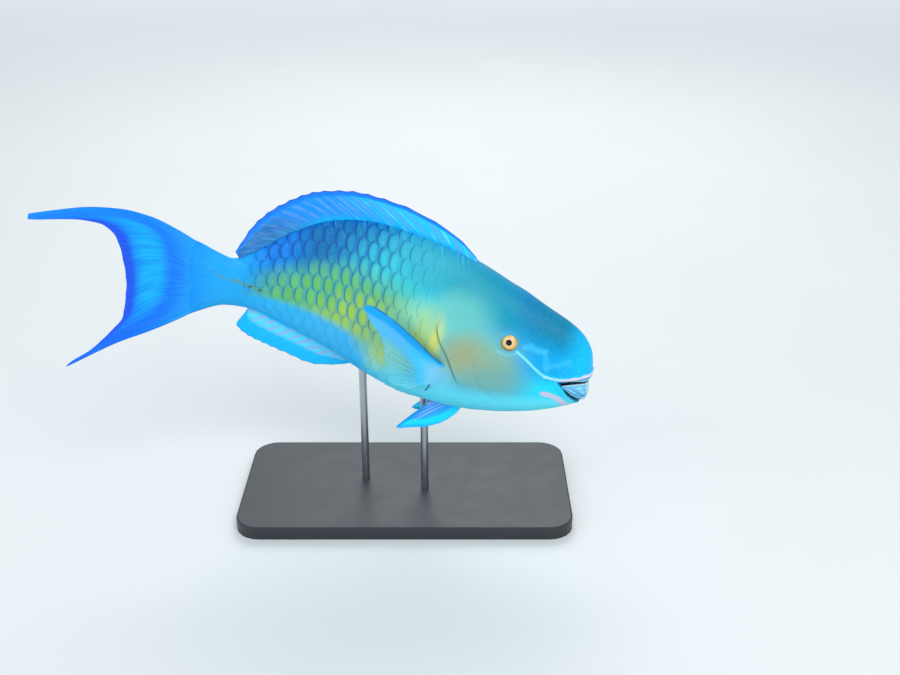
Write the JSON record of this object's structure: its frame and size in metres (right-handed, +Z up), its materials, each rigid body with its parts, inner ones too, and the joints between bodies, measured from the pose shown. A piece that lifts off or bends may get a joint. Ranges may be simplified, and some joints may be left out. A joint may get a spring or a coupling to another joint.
{
  "type": "parrotfish display model",
  "caption": "Life-size still model of a swimming blue parrotfish, nose-down with its tail swung aside, on a flat base with upright rods.",
  "frame": {"origin": "centre of the stand base's underside, on the table", "axes": "+X towards the head along the fish's length, +Y to its left, away from the flank that the picture shows, +Z up"},
  "size_m": [0.4474, 0.15, 0.2995],
  "materials": {
    "skin_head": "blue to olive fish skin, satin",
    "skin_body": "scaled blue and yellow-green fish skin, satin",
    "fin": "blue rayed fin membrane, satin",
    "beak": "pale blue-green beak, smooth",
    "eye": "orange iris with black pupil, glossy",
    "stand_base": "dark satin base plate",
    "stand_rod": "brushed steel rod"
  },
  "bodies": {
    "root": {"head": "skin_head", "lower_jaw": "skin_head", "gill_cover_right": "skin_head", "gill_cover_left": "skin_head", "trunk": "skin_body", "tail_stem": "skin_body", "dorsal_fin": "fin", "anal_fin": "fin", "caudal_fin_upper": "fin", "caudal_fin_middle": "fin", "caudal_fin_lower": "fin", "pectoral_fin_right": "fin", "pectoral_fin_left": "fin", "pelvic_fin_right": "fin", "pelvic_fin_left": "fin", "beak_upper": "beak", "beak_lower": "beak", "eye_right": "eye", "eye_left": "eye", "stand_base": "stand_base", "stand_rod_front": "stand_rod", "stand_rod_rear": "stand_rod"}
  },
  "joints": []
}
